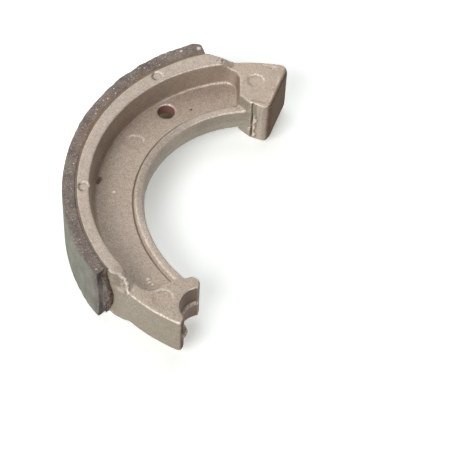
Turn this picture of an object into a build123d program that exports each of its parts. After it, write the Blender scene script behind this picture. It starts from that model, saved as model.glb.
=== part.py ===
from build123d import *
import os
from math import asin, cos, degrees, radians, sin, sqrt

os.makedirs("parts", exist_ok=True)

# One shoe of a small drum brake.  The drum axis is Z, the shoe lies on the
# side of -X, the cam end is towards +Y and the anchor-pin end towards -Y.
# x = 0 is the plane that divides the two shoes of the brake.

# ---------------------------------------------------------------- drum fit
drum_radius = 65.0
shoe_width = 24.5
lining_thickness = 4.9
bond_thickness = 0.3
lining_start_angle = 127.0
lining_end_angle = 236.4
lining_edge_chamfer = 0.5
lining_cam_corner = 1.8
lining_anchor_corner = 1.0

# ------------------------------------------------------------ web and bead
web_thickness = 4.9
bead_height = 1.8
bead_foot_width = 3.8
bead_start_angle = 104.0
bead_end_angle = 256.0
bead_side_angle = 22.0
rim_to_bead_depth = 22.8
inner_turn_angle = 205.0
inner_turn_offset = 9.5
inner_draft = 8.0
inner_end_gap = 0.55
bore_inset_angle = 0.4

# ----------------------------------------------------------- sunken pockets
rim_wall_at_web = 6.5
rim_wall_at_edge = 6.4
pocket_foot_centre_x = -0.5
pocket_foot_centre_y = -0.3
pocket_rim_centre_x = -1.9
pocket_rim_centre_y = -1.1
pocket_end_draft = 6.0
pocket_foot_round = 1.1
pocket_cam_corner = 4.5
pocket_anchor_corner = 4.5
pocket_lip_corner = 6.0
pocket_bend_corner = 1.5
pocket_lip_run = 7.0
pocket_knee_back = 4.52
pocket_knee_drop = 2.49
pocket_back_wall_angle = 233.44
pocket_cam_wall_angle = 109.43
pocket_cam_bend_back = 6.1
pocket_cam_bend_rise = 1.5
pocket_cam_in_lap = 0.3
pocket_cam_in_drop = 0.95
pocket_hub_drop = 7.4
pocket_hub_low_step = 3.0

# ------------------------------------------------------------ cam-end block
cam_block_height = 19.0
cam_face_x = -6.7
cam_outer_step = 3.7
cam_foot_drop = 2.6
cam_foot_start_x = -13.3
cam_outer_corner = 3.0
cam_inner_corner = 1.6
cam_face_chamfer = 1.2
cam_slope_top_angle = 119.23
cam_slope_bottom_angle = 115.13
cam_blend_gap_angle = 0.2
cam_blend_end_angle = 119.8
cam_shoulder_top_angle = 125.47
cam_shoulder_bottom_angle = 122.2

# --------------------------------------------------------- anchor-end block
anchor_block_height = 16.7
anchor_face_x = -3.6
anchor_outer_step = 0.7
anchor_pin_step = 10.0
anchor_notch_radius = 7.1
anchor_lip_radius = 2.65
anchor_lip_turn = 128.0
anchor_outer_corner = 1.2
anchor_slope_top_angle = 242.08
anchor_slope_bottom_angle = 246.75
anchor_blend_gap_angle = 0.6
anchor_blend_end_angle = 244.0
anchor_shoulder_top_angle = 238.7
anchor_shoulder_bottom_angle = 246.4
flash_height = 0.9
flash_half_width = 1.7
lip_flash_height = 1.1
lip_flash_half_width = 3.0

# ---------------------------------------------- spring hole through the web
spring_hole_radius = 3.0
spring_hole_reach = 11.9
spring_hole_angle = 148.7
spring_hole_chamfer = 0.25

# ------------------------------------------- round marks of the ejector pins
mark_depth = 0.25
cam_mark_reach = 10.44
cam_mark_angle = 109.2
cam_mark_radius = 2.8
anchor_mark_reach = 16.16
anchor_mark_angle = 256.07
anchor_mark_radius = 3.3
web_mark_reach = 10.6
web_mark_angle = 169.47
web_mark_radius = 3.0
rim_mark_inset = 2.65
first_rim_mark_angle = 146.25
second_rim_mark_angle = 202.79
rim_mark_radius = 1.85

# ----------------------------------------------------------- small roundings
block_edge_round = 0.6
pocket_edge_round = 0.5
rim_edge_round = 0.5

# ------------------------------------------------------------ derived sizes
mid_z = shoe_width / 2
bond_outer_radius = drum_radius - lining_thickness
rim_outer_radius = bond_outer_radius - bond_thickness
inner_radius = rim_outer_radius - rim_to_bead_depth
pocket_foot_radius = rim_outer_radius - rim_wall_at_web
pocket_rim_radius = rim_outer_radius - rim_wall_at_edge
cam_outer_radius = rim_outer_radius - cam_outer_step
cam_foot_y = inner_radius - cam_foot_drop
anchor_outer_radius = rim_outer_radius - anchor_outer_step
anchor_pin_y = anchor_pin_step - rim_outer_radius
anchor_lip_y = anchor_pin_y + anchor_notch_radius
web_top = mid_z + web_thickness / 2
bead_top = web_top + bead_height
cam_top = mid_z + cam_block_height / 2
anchor_top = mid_z + anchor_block_height / 2
cam_blend_start_angle = lining_start_angle - cam_blend_gap_angle
anchor_blend_start_angle = lining_end_angle + anchor_blend_gap_angle
hub_region_x = 3.0
hub_region_y = 15.0
hub_reach_share = 0.6
over = 1.0
fit_margin = 0.01
level_margin = 0.001
axis_point = Vector(0, 0)


def polar(radius, angle):
    return Vector(radius * cos(radians(angle)), radius * sin(radians(angle)))


def on_rim(angle):
    """Point on the rim's outer wall, from which the end shoulders start."""
    return polar(rim_outer_radius, angle)


def from_bead(reach, angle):
    """Point at this reach outwards from the inner wall."""
    return polar(inner_radius + reach, angle)


def arc_about(centre, radius, start, end):
    middle = (start + end) / 2
    points = [centre + polar(radius, angle) for angle in (start, middle, end)]
    return ThreePointArc(*points)


def blend(first_radius, first_angle, last_radius, last_angle):
    """Smooth step in plan from one radius to another about the drum axis."""
    ends = [polar(first_radius, first_angle), polar(last_radius, last_angle)]
    tangents = [polar(1, first_angle + 90), polar(1, last_angle + 90)]
    return Spline(*ends, tangents=tangents)


def inner_wall(radius, start, end):
    """Inner wall in plan: a round arc, then a wider arc to the anchor end."""
    wide_centre = polar(-inner_turn_offset, inner_turn_angle)
    wide = radius + inner_turn_offset
    first = arc_about(axis_point, radius, start, inner_turn_angle)
    second = arc_about(wide_centre, wide, inner_turn_angle, end)
    return [first, second]


def hub_side(radius, start, end):
    """Flat region on the hub side of the inner wall at this radius."""
    wall = inner_wall(radius, start, end)
    first = wall[0] @ 0
    last = wall[1] @ 1
    hub_low = (hub_region_x, -hub_region_y)
    hub_high = (hub_region_x, hub_region_y)
    low = last * hub_reach_share
    high = first * hub_reach_share
    closing = Polyline(last, low, hub_low, hub_high, high, first)
    return make_face(wall + list(closing.edges()))


def both_faces(solid):
    """The solid and its twin mirrored about the mid plane of the shoe."""
    return solid + mirror(solid, about=Plane.XY.offset(mid_z))


def round_corner(face, point, size):
    corner = face.vertices().sort_by_distance(point)[0]
    return fillet(corner, size)


def shoulder_section(top_reach, bottom_reach, block_top, far_reach):
    """Section that takes material off above a sloping shoulder."""
    high = shoe_width + over
    return Polyline(
        (top_reach, high),
        (top_reach, shoe_width),
        (bottom_reach, block_top),
        (far_reach, block_top),
        (far_reach, high),
        close=True,
    )


def slope_tool(top_x, bottom_x, block_top, first_y, last_y):
    """Takes an end block down from the rim's face with a sloping shoulder."""
    section = shoulder_section(top_x, bottom_x, block_top, over)
    plane = Plane.XZ.offset(-last_y)
    return extrude(plane * make_face(section), last_y - first_y)


def corner_tool(top_y, bottom_y, block_top, far_y, first_x, last_x):
    """Takes the rim's outer corner off above an end block's outer wall."""
    section = shoulder_section(top_y, bottom_y, block_top, far_y)
    plane = Plane.YZ.offset(first_x)
    return extrude(plane * make_face(section), last_x - first_x)


# ------------------------------------------------------ outline of the casting
cam_corner_angle = 90 + degrees(asin(-cam_face_x / cam_outer_radius))
anchor_corner_angle = 270 - degrees(asin(-anchor_face_x / anchor_outer_radius))
cam_corner = polar(cam_outer_radius, cam_corner_angle)
anchor_corner = polar(anchor_outer_radius, anchor_corner_angle)
lip_centre = Vector(anchor_face_x - anchor_lip_radius, anchor_lip_y)
lip_turn_point = lip_centre + polar(anchor_lip_radius, anchor_lip_turn)
inner_start_angle = 90 + degrees(asin(-cam_foot_start_x / inner_radius))
wide_arc_centre_x = polar(-inner_turn_offset, inner_turn_angle).X
inner_end_run = wide_arc_centre_x - lip_turn_point.X + inner_end_gap
inner_end_share = inner_end_run / (inner_radius + inner_turn_offset)
inner_end_angle = 270 - degrees(asin(inner_end_share))
wall = inner_wall(inner_radius, inner_start_angle, inner_end_angle)

outer_edges = [
    arc_about(axis_point, cam_outer_radius, cam_corner_angle, cam_blend_end_angle),
    blend(
        cam_outer_radius, cam_blend_end_angle, rim_outer_radius, cam_blend_start_angle
    ),
    arc_about(
        axis_point, rim_outer_radius, cam_blend_start_angle, anchor_blend_start_angle
    ),
    blend(
        rim_outer_radius,
        anchor_blend_start_angle,
        anchor_outer_radius,
        anchor_blend_end_angle,
    ),
    arc_about(
        axis_point, anchor_outer_radius, anchor_blend_end_angle, anchor_corner_angle
    ),
]
anchor_edges = [
    Line(anchor_corner, (anchor_face_x, anchor_lip_y)),
    arc_about(lip_centre, anchor_lip_radius, 0, anchor_lip_turn),
    Line(lip_turn_point, wall[1] @ 1),
]
cam_edges = Polyline(
    wall[0] @ 0,
    (cam_foot_start_x, cam_foot_y),
    (cam_face_x, cam_foot_y),
    cam_corner,
)
outline = make_face(outer_edges + anchor_edges + wall + list(cam_edges.edges()))
outline = round_corner(outline, cam_corner, cam_outer_corner)
outline = round_corner(outline, (cam_face_x, cam_foot_y), cam_inner_corner)
outline = round_corner(outline, anchor_corner, anchor_outer_corner)

# ------------------------------------------------------------ pocket outlines
lip_slope = polar(1, anchor_lip_turn - 90)
pocket_in = lip_turn_point + lip_slope * pocket_lip_run
pocket_knee = lip_turn_point - Vector(pocket_knee_back, pocket_knee_drop)
cam_foot_start = Vector(cam_foot_start_x, cam_foot_y)
pocket_cam_in = cam_foot_start + Vector(pocket_cam_in_lap, -pocket_cam_in_drop)
pocket_cam_bend = cam_foot_start + Vector(-pocket_cam_bend_back, pocket_cam_bend_rise)
back_way = polar(1, pocket_back_wall_angle)
back_normal = polar(1, pocket_back_wall_angle + 90)
cam_way = polar(1, pocket_cam_wall_angle)
hub_clear_y = cam_foot_y - pocket_hub_drop
hub_clear_low_y = -hub_clear_y - pocket_hub_low_step


def meet_arc(inside, way, centre, radius):
    """Where the straight line that leaves inside along way meets an arc."""
    gap = inside - centre
    along = gap.dot(way)
    reach = sqrt(along * along - gap.dot(gap) + radius**2) - along
    return inside + way * reach


def pocket_outline(centre, radius, grow):
    """Pocket in plan, its straight walls moved outwards by grow."""
    cam_shift = Vector(grow, 0)
    in_shift = Vector(0, grow)
    knee = pocket_knee + back_normal * grow
    bend = pocket_cam_bend + cam_shift
    anchor_hit = meet_arc(knee, back_way, centre, radius)
    cam_hit = meet_arc(bend, cam_way, centre, radius)
    start = 180 - degrees(asin((cam_hit - centre).Y / radius))
    end = 180 - degrees(asin((anchor_hit - centre).Y / radius))
    rim_arc = arc_about(centre, radius, start, end)
    rest = Polyline(
        anchor_hit,
        knee,
        pocket_in - in_shift,
        (hub_region_x, hub_clear_low_y),
        (hub_region_x, hub_clear_y),
        (pocket_cam_in.X, hub_clear_y),
        pocket_cam_in + in_shift,
        bend + in_shift,
        cam_hit,
    )
    face = make_face([rim_arc] + list(rest.edges()))
    face = round_corner(face, cam_hit, pocket_cam_corner)
    face = round_corner(face, anchor_hit, pocket_anchor_corner)
    face = round_corner(face, bend + in_shift, pocket_bend_corner)
    return round_corner(face, knee, pocket_lip_corner)


foot_centre = Vector(pocket_foot_centre_x, pocket_foot_centre_y)
rim_centre = Vector(pocket_rim_centre_x, pocket_rim_centre_y)
foot_plan = pocket_outline(foot_centre, pocket_foot_radius, 0)
pocket_depth = shoe_width - web_top
end_grow = pocket_depth * sin(radians(pocket_end_draft))
rim_plan = pocket_outline(rim_centre, pocket_rim_radius, end_grow)
foot_plan = Pos(0, 0, web_top) * foot_plan
rim_plan = Pos(0, 0, shoe_width) * rim_plan
pocket = loft([foot_plan.face(), rim_plan.face()], ruled=True)
foot_edges = pocket.edges().filter_by_position(Axis.Z, web_top, web_top)
pocket = fillet(foot_edges, pocket_foot_round)

# -------------------------------------------------------------- shoe casting
blank = extrude(outline, shoe_width)
casting = blank - pocket
casting = casting - mirror(pocket, about=Plane.XY.offset(mid_z))

bead_face = hub_side(inner_radius + bead_foot_width, bead_start_angle, bead_end_angle)
bead = extrude(Pos(0, 0, web_top) * bead_face, bead_height, taper=bead_side_angle)
casting = casting + both_faces(bead & blank)

bore_start_angle = inner_start_angle + bore_inset_angle
bore_end_angle = inner_end_angle - bore_inset_angle
bore_face = hub_side(inner_radius, bore_start_angle, bore_end_angle)
bore = extrude(Pos(0, 0, mid_z) * bore_face, bead_top - mid_z, taper=-inner_draft)
casting = casting - both_faces(bore)

cam_slope_top_x = on_rim(cam_slope_top_angle).X
cam_slope_bottom_x = on_rim(cam_slope_bottom_angle).X
cam_shoulder_top_y = on_rim(cam_shoulder_top_angle).Y
cam_shoulder_bottom_y = on_rim(cam_shoulder_bottom_angle).Y
anchor_slope_top_x = on_rim(anchor_slope_top_angle).X
anchor_slope_bottom_x = on_rim(anchor_slope_bottom_angle).X
anchor_shoulder_top_y = on_rim(anchor_shoulder_top_angle).Y
anchor_shoulder_bottom_y = on_rim(anchor_shoulder_bottom_angle).Y
far = drum_radius + over
cam_slope = slope_tool(
    cam_slope_top_x, cam_slope_bottom_x, cam_top, hub_clear_y, far
)
anchor_slope = slope_tool(
    anchor_slope_top_x, anchor_slope_bottom_x, anchor_top, -far, -inner_radius
)
cam_shoulder = corner_tool(
    cam_shoulder_top_y, cam_shoulder_bottom_y, cam_top, far, -far, cam_slope_bottom_x
)
anchor_shoulder = corner_tool(
    anchor_shoulder_top_y,
    anchor_shoulder_bottom_y,
    anchor_top,
    -far,
    -far,
    anchor_slope_bottom_x,
)
casting = casting - both_faces(cam_slope) - both_faces(anchor_slope)
casting = casting - both_faces(cam_shoulder) - both_faces(anchor_shoulder)

# anchor-pin notch, with the raised parting line left standing on its wall
notch_section = Polyline(
    (0, -over),
    (anchor_notch_radius, -over),
    (anchor_notch_radius, mid_z - flash_half_width),
    (anchor_notch_radius - flash_height, mid_z),
    (anchor_notch_radius, mid_z + flash_half_width),
    (anchor_notch_radius, shoe_width + over),
    (0, shoe_width + over),
    close=True,
)
notch = revolve(Plane.XZ * make_face(notch_section), Axis.Z)
casting = casting - Pos(0, anchor_pin_y, 0) * notch

# raised parting line on the end of the outer lip of the notch
lip_flash_section = Polyline(
    (anchor_face_x - over, mid_z - lip_flash_half_width),
    (anchor_face_x, mid_z - lip_flash_half_width),
    (anchor_face_x + lip_flash_height, mid_z),
    (anchor_face_x, mid_z + lip_flash_half_width),
    (anchor_face_x - over, mid_z + lip_flash_half_width),
    close=True,
)
lip_flash_first = anchor_pin_y - sqrt(anchor_notch_radius**2 - (anchor_face_x - over) ** 2)
lip_flash_last = -sqrt(anchor_outer_radius**2 - anchor_face_x**2) + anchor_outer_corner
lip_flash_plane = Plane.XZ.offset(-lip_flash_first)
lip_flash = extrude(
    lip_flash_plane * make_face(lip_flash_section), lip_flash_first - lip_flash_last
)
casting = casting + lip_flash

# bevel along the edges of the cam face
bevel_section = Polyline(
    (cam_face_x - cam_face_chamfer, cam_top),
    (cam_face_x, cam_top - cam_face_chamfer),
    (cam_face_x + over, cam_top - cam_face_chamfer),
    (cam_face_x + over, cam_top + over),
    (cam_face_x - cam_face_chamfer, cam_top + over),
    close=True,
)
bevel = extrude(Plane.XZ.offset(-far) * make_face(bevel_section), far - hub_clear_y)
casting = casting - both_faces(bevel)

# spring hole, with its edge broken at both faces of the web
hole_mouth_radius = spring_hole_radius + spring_hole_chamfer
hole_section = Polyline(
    (0, mid_z - over),
    (spring_hole_radius, mid_z - over),
    (spring_hole_radius, web_top - spring_hole_chamfer),
    (hole_mouth_radius, web_top),
    (hole_mouth_radius, shoe_width + over),
    (0, shoe_width + over),
    close=True,
)
spring_hole = revolve(Plane.XZ * make_face(hole_section), Axis.Z)
hole_place = from_bead(spring_hole_reach, spring_hole_angle)
casting = casting - both_faces(Pos(hole_place.X, hole_place.Y, 0) * spring_hole)


# ------------------------------------------------------- rounded block edges
def edges_at(solid, height):
    """Edges of the solid that lie flat at this height."""
    low = height - level_margin
    return solid.edges().filter_by_position(Axis.Z, low, height + level_margin)


for height in (cam_top, shoe_width - cam_top):
    found = [e for e in edges_at(casting, height) if (e @ 0.5).Y > 0]
    cam_found = [e for e in found if (e @ 0.5).X > cam_slope_bottom_x + fit_margin]
    casting = fillet(cam_found, block_edge_round)

anchor_outer_limit = (anchor_shoulder_bottom_y - anchor_outer_radius) / 2
for height in (anchor_top, shoe_width - anchor_top):
    found = [e for e in edges_at(casting, height) if (e @ 0.5).Y < 0]
    outer_found = [e for e in found if (e @ 0.5).Y < anchor_outer_limit]
    casting = fillet(outer_found, block_edge_round)
    found = [e for e in edges_at(casting, height) if (e @ 0.5).Y < 0]
    pocket_found = [e for e in found if e.geom_type == GeomType.BSPLINE]
    casting = fillet(pocket_found, pocket_edge_round)

for height in (shoe_width, 0):
    casting = fillet(edges_at(casting, height), rim_edge_round)

# shallow round marks left by the ejector pins on one face of the casting
rim_mark_reach = rim_to_bead_depth - rim_mark_inset
marks = [
    (cam_mark_reach, cam_mark_angle, cam_top, cam_mark_radius),
    (anchor_mark_reach, anchor_mark_angle, anchor_top, anchor_mark_radius),
    (web_mark_reach, web_mark_angle, web_top, web_mark_radius),
    (rim_mark_reach, first_rim_mark_angle, shoe_width, rim_mark_radius),
    (rim_mark_reach, second_rim_mark_angle, shoe_width, rim_mark_radius),
]
for reach, angle, height, radius in marks:
    place = from_bead(reach, angle)
    pin = Cylinder(radius, mark_depth * 2)
    casting = casting - Pos(place.X, place.Y, height) * pin

# ------------------------------------------------- bonded friction lining
def ring_piece(inner, outer, first, last):
    """Curved block between two radii and two angles, as wide as the shoe."""
    outer_arc = arc_about(axis_point, outer, first, last)
    inner_arc = arc_about(axis_point, inner, first, last)
    sides = [Line(outer_arc @ 0, inner_arc @ 0), Line(outer_arc @ 1, inner_arc @ 1)]
    return make_face([outer_arc, inner_arc] + sides)


lining_plan = ring_piece(
    bond_outer_radius, drum_radius, lining_start_angle, lining_end_angle
)
first_corner = polar(drum_radius, lining_start_angle)
last_corner = polar(drum_radius, lining_end_angle)
lining_plan = round_corner(lining_plan, first_corner, lining_cam_corner)
lining_plan = round_corner(lining_plan, last_corner, lining_anchor_corner)
lining = extrude(lining_plan, shoe_width)
curved_edges = lining.edges().filter_by(GeomType.CIRCLE)
rubbing_edges = [e for e in curved_edges if e.radius > drum_radius - fit_margin]
lining = chamfer(rubbing_edges, lining_edge_chamfer)

# ------------------------------------------- adhesive film under the lining
film_plan = ring_piece(
    rim_outer_radius, bond_outer_radius, lining_start_angle, lining_end_angle
)
film = extrude(film_plan, shoe_width)

export_step(casting, "parts/shoe_body.step")
export_step(lining, "parts/friction_lining.step")
export_step(film, "parts/adhesive_film.step")
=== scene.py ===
import math

import bmesh
import bpy
from mathutils import Matrix, Vector, noise


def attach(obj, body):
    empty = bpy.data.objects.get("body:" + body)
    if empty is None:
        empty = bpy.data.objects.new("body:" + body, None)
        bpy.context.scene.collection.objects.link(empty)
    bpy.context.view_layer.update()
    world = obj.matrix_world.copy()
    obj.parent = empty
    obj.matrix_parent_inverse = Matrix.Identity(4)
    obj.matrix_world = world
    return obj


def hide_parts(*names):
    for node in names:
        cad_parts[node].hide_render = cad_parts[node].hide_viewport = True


# One cast brake shoe with its bonded lining, lying on a pale table.
# The drum's axis is Z, the cam end is towards +Y and the anchor end
# towards -Y.  Sizes and places on the shoe are in millimetres, and MM makes
# them metres.  Those of the camera, the lamps and the table are in metres.

MM = 0.001


def tone(red, green, blue):
    """A screen colour, 0 to 255, as the linear colour that shows it."""
    return tuple(
        c / 12.92 if c <= 0.04045 else ((c + 0.055) / 1.055) ** 2.4
        for c in (red / 255, green / 255, blue / 255)
    )


# ------------------------------------------------------------------ camera
CAMERA_PLACE = (0.101889, -0.350260, 0.504168)
CAMERA_RIGHT = (0.93827663, 0.34382351, 0.03771422)
CAMERA_UP = (-0.30063017, 0.75672852, 0.58050275)
CAMERA_LENS_MM = 137.97
CAMERA_SENSOR_MM = 36.0
CAMERA_RANGE = (0.01, 10)

# --------------------------------------------------------- table and lamps
TABLE_HALF_SIDE = 1.5
TABLE_PAINT = tone(250, 251, 250)
# how brightly the white table shows where it is seen
TABLE_GLOW = (0.43, 0.45, 0.435)
# the dim red light that the dyed wall of the spring hole throws on the table,
# painted there as a glow
HOLE_GLOW = (0.032, 0.010, 0.009)
# the patch of table seen through the spring hole, darkened with painted shade, in
# mm: its place, and the distances from there at which it starts and ends to fade
UNDER_HOLE = (-44.4, 33.8)
UNDER_HOLE_EDGE = (7, 12)
# name, azimuth and elevation in degrees, watts, width and distance
LAMPS = [
    ("front_left", 252, 40, 28.7, 1.11, 2.0),
    ("behind", 118, 54, 1.2, 0.5, 0.55),
    ("left", 160, 30, 0.9, 0.5, 0.9),
]

# ---------------------------------------------------- sizes of the casting
SHOE_WIDTH = 24.5
MID_Z = SHOE_WIDTH / 2
# furthest that the casting reaches along +X and +Y
CAST_RIGHT = -2.5
CAST_TOP = 55.2
# side of the even mesh that the casting's skin is modelled on
SKIN_VOXEL = 0.45
# height, width and seed of each wave in the skin
SKIN_WAVES = [(0.05, 5.0, 0.0), (0.03, 1.7, 3.0)]
# how far the rim's top lies below the lining's
RIM_DROP = 0.12
# centre and radius of the spring hole
HOLE_PLACE = (-41.78, 25.40)
HOLE_RADIUS = 3.0
# centre and radius of the rounded corner down the cam foot, and of the notch
COLUMN_PLACE = (-9.7, 37.4)
COLUMN_RADIUS = 3.0
NOTCH_PLACE = (0.0, -49.8)
NOTCH_RADIUS = 7.1
# middle of the lumps along the notch's parting line, where they start and
# are full above and below it, and how high they are
LUMPS_Z = MID_Z - 0.3
LUMPS_HALF = (1.4, 0.6)
LUMPS_HEIGHT = 0.25
# bottom and top of the ragged band of painted highlight round the notch
NOTCH_LEDGE = (10.9, 13.3)
# the way that the anchor end's outer wall and the cam foot's front face
FRONT = (-0.45, -0.89)

# ---------------------------------------------- small marks on the casting
# centre x, y, height and radius of each ejector mark, how bright the painted
# highlight on its burr is and how dark the painted shade in its groove
MARKS = [
    (-15.6, 44.8, 21.75, 2.8, 1.0, 0.6),
    (-12.8, -51.6, 20.6, 3.3, 0.6, 0.25),
    (-46.8, 8.7, 14.7, 3.0, 0.5, 0.0),
    (-47.6, 31.8, 24.5, 1.85, 1.2, 1.5),
    (-52.6, -22.1, 24.5, 1.85, 1.6, 1.4),
]
# how wide the line round a mark is, and how high and how deep it goes
MARK_LINE = 0.42
MARK_SPREAD = 1.5
BURR_HEIGHT = 0.24
GROOVE_DEPTH = 0.08
# x, y and radius of the marks on the web, and the heights they lie between
WEB_HEIGHTS = (14.0, 18.0)
WEB_PIT = (-34.0, 29.5, 0.6)
WEB_SPECK = (-45.3, -14.0, 0.7)
FLOW_MARKS = [
    (-21.4, -43.0, 0.8), (-20.6, -43.9, 0.7), (-19.4, -44.3, 0.6), (-22.3, -44.8, 0.5),
]
RUST_SPOT = [(-51.8, -10.6, 1.1), (-51.8, -11.7, 0.95), (-51.8, -12.7, 0.7)]
# x, y, top height, radius and how dark the painted shade in the hollows is, of
# each rough patch on a rim or lip
ROUGH_PATCHES = [(-29.7, 46.6, 24.5, 1.9, 0.5), (-12.6, 52.9, 21.75, 1.5, 0.1)]
# crumbs of metal on the anchor shoulder, all alike
CRUMBS = [(-27.2, -49.9), (-26.2, -51.2), (-24.9, -52.4), (-23.4, -53.5)]
CRUMB_RADIUS = 1.9
CRUMB_HEIGHT = 0.25
CRUMB_FROM = (18.5, 20.0)
# where the outer wall is hollowed at the shoulder, how deeply, and where the
# hollow has ended and is full along the wall, into it and up it
SHOULDER_PLACE = (-27.6, -52.4)
SHOULDER_DEPTH = 1.3
SHOULDER_ALONG = (4.4, 0.8)
SHOULDER_INTO = (-4.5, 0.0)
SHOULDER_UP = (15.0, 21.0)
# x, y and radius of the shoulder's edge that has less wear and painted highlight
# and a little painted shade, and of the corner beside it with less painted shade
SHOULDER_DULL = (-28.5, -49.3, 3.0)
SHOULDER_DULL_FROM = (17.5, 19.5)
SHOULDER_LESS_SHADE = (-25.2, -49.6, 7.5)
# middle of the shoulder's slope
SLOPE_PLACE = (-26.5, -51.5)
# lowest part of the cam block's top, and the height that its edge lines reach
CAM_TOP_FROM = 21.4
CAM_EDGE_TO = 22.2
# ends of the dark line of painted shade along the front of the cam block's top
FRONT_LINE = ((-14.0, 36.0), (-9.0, 36.1))
# ends of the ragged bright lines of painted highlight on top of the cam block
CAM_LINES = [((-15.6, 52.7), (-11.0, 53.3)), ((-8.6, 50.5), (-7.9, 37.5))]
# distances from such a line at which it has ended and is full
CAM_LINE_EDGE = (0.5, 0.15)
FRONT_LINE_EDGE = (0.4, 0.1)
# the front of the cam foot: its x and y ranges, the line of its step, the
# bright crest beside the step, and how wide and deep the two are
FOOT_X = (-15, -9)
FOOT_Y = (33, 37)
STEP_X = -13.1
STEP_WIDTH = 0.30
STEP_DEPTH = 0.6
CREST_X = STEP_X - 0.75
CREST_WIDTH = 0.25
# the flash that is torn off there, from its root to its ragged edge, and the
# shallow hollow that it lies in
FLASH_ROOT = (-12.7, -12.3)
FLASH_EDGE = -11.5
FLASH_HEIGHT = 0.5
FOOT_HOLLOW_X = (-12.9, -12.4, -11.4, -10.2)
FOOT_HOLLOW_DEPTH = 0.2
# how high up the step and the flash run, each with where it starts, is full,
# is still full and has ended
STEP_RUN = (3.0, 4.0, 21.3, 21.9)
FLASH_RUN = (3.6, 4.4, 14.8, 16.6)
# bend of the skin at which an edge starts to be rubbed, with painted highlight,
# and is fully bright, and at which a corner starts to get painted shade and is fully dark
RUBBED_HIGHLIGHT_BEND = (0.04, 0.14)
SHADED_CORNER_BEND = (-0.04, -0.15)

# ------------------------------------------------------ sizes of the lining
# inner radius of the lining, and the angles that it starts and ends at
BOND_OUTER = 60.1
LINING_START = 127.0
LINING_END = 236.4
# x, y and radius of the pale chips at the cam end of the lining's top
END_CHIPS = [(-38.8, 49.0, 0.9), (-44.1, 45.4, 0.6)]
# radius of the lining's rubbing face at angles round the drum axis
RUBBING_RADIUS = [
    (127.0, 65.3), (134.0, 65.4), (150.0, 65.0), (170.0, 64.6),
    (190.0, 64.5), (225.0, 64.5), (236.4, 64.3),
]
# how far the outer corner of the cam end is rounded back, in degrees, from
# this share of the lining's thickness on, and the same for the anchor end
CAM_END_BACK = 13.0
CAM_END_FROM = 0.55
ANCHOR_END_BACK = 45.0
ANCHOR_END_FROM = 0.85
# how far the anchor end leans out and swells at the bond, in degrees, and
# over what height it swells
END_LEAN = 0.5
END_SWELL = 2.7
END_SWELL_FROM = 0.4
END_SWELL_OVER = 20.6
# shares of the lining's height and thickness past which its edges are chipped
CHIPPED_TOP = (0.94, 1.0)
CHIPPED_FOOT = (0.06, 0.0)
CHIPPED_OUT = (0.8, 1.0)
# inner radius and thickness of the bond line, and of the glue that is
# squeezed out past the anchor end
BOND_INNER = 59.55
BOND_THICK = 0.7
SQUEEZED_INNER = 59.45
SQUEEZED_THICK = 1.5
# shares of the bond line's length past which it is squeezed out, and up to
# which its top is uneven
SQUEEZED_PAST = 0.99999
UNEVEN_TO = 0.99
# lowest and highest part of the bond line
BOND_LOW = 0.15
BOND_TOP = SHOE_WIDTH - RIM_DROP

# -------------------------------------------------- colours of the casting
PLAIN = (1, 1, 1)
DULL_METAL = (tone(168, 153, 138), tone(173, 157, 142))
BRIGHT_METAL = (tone(215, 200, 185), tone(222, 207, 192))
# colour of rubbed edges and of painted highlights
RUBBED_METAL_AND_HIGHLIGHT = tone(255, 243, 228)
# colour of rust and of painted shade in corners, grooves and hollows
DIRT_AND_SHADE = tone(90, 61, 42)
# painted shade at the foot of the bead
BEAD_FOOT_SHADE = tone(92, 74, 60)
# painted light on the shoulder's slope
SHOULDER_LIGHT = tone(222, 208, 192)
# painted floor light on the hub side's wall, more on its lower half
INNER_BOUNCE_LIGHT = tone(214, 208, 190)
COLUMN_STREAK = tone(116, 110, 94)
HOLE_DYE = (tone(124, 106, 92), tone(164, 98, 90))
# what the metal's own colour is multiplied by, from place to place: mostly painted shade, and
# warmer tones on the end tops
# painted shade: on the sunken web, on the outer walls (greener, as if lit by the floor), on
# the pocket walls and on the pocket's cam end wall
WEB_SHADE = (0.84, 0.805, 0.78)
FRONT_SHADE_AND_BOUNCE = (0.64, 0.66, 0.61)
POCKET_SHADE = (0.84, 0.78, 0.75)
POCKET_END_SHADE = (0.55, 0.50, 0.47)
# painted shade on the cam end's face, partly its rubbed brown, on its bevel and in a dark
# line along it
CAM_FACE_SHADE = (0.33, 0.25, 0.19)
BEVEL_SHADE = (0.66, 0.54, 0.43)
BEVEL_LINE_SHADE = (0.17, 0.12, 0.09)
# painted shade on the middle of the bead's top
BEAD_TOP_SHADE = (0.73, 0.72, 0.71)
ANCHOR_TOP_TINT = (0.92, 0.905, 0.865)
CAM_TOP_TINT = (0.995, 0.965, 0.93)
# painted shade on the notch's wall, below its ledge and, darker, above it
NOTCH_LOW_SHADE = (0.62, 0.53, 0.48)
NOTCH_UPPER_SHADES = ((0.32, 0.235, 0.19), (0.42, 0.34, 0.29))

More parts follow.
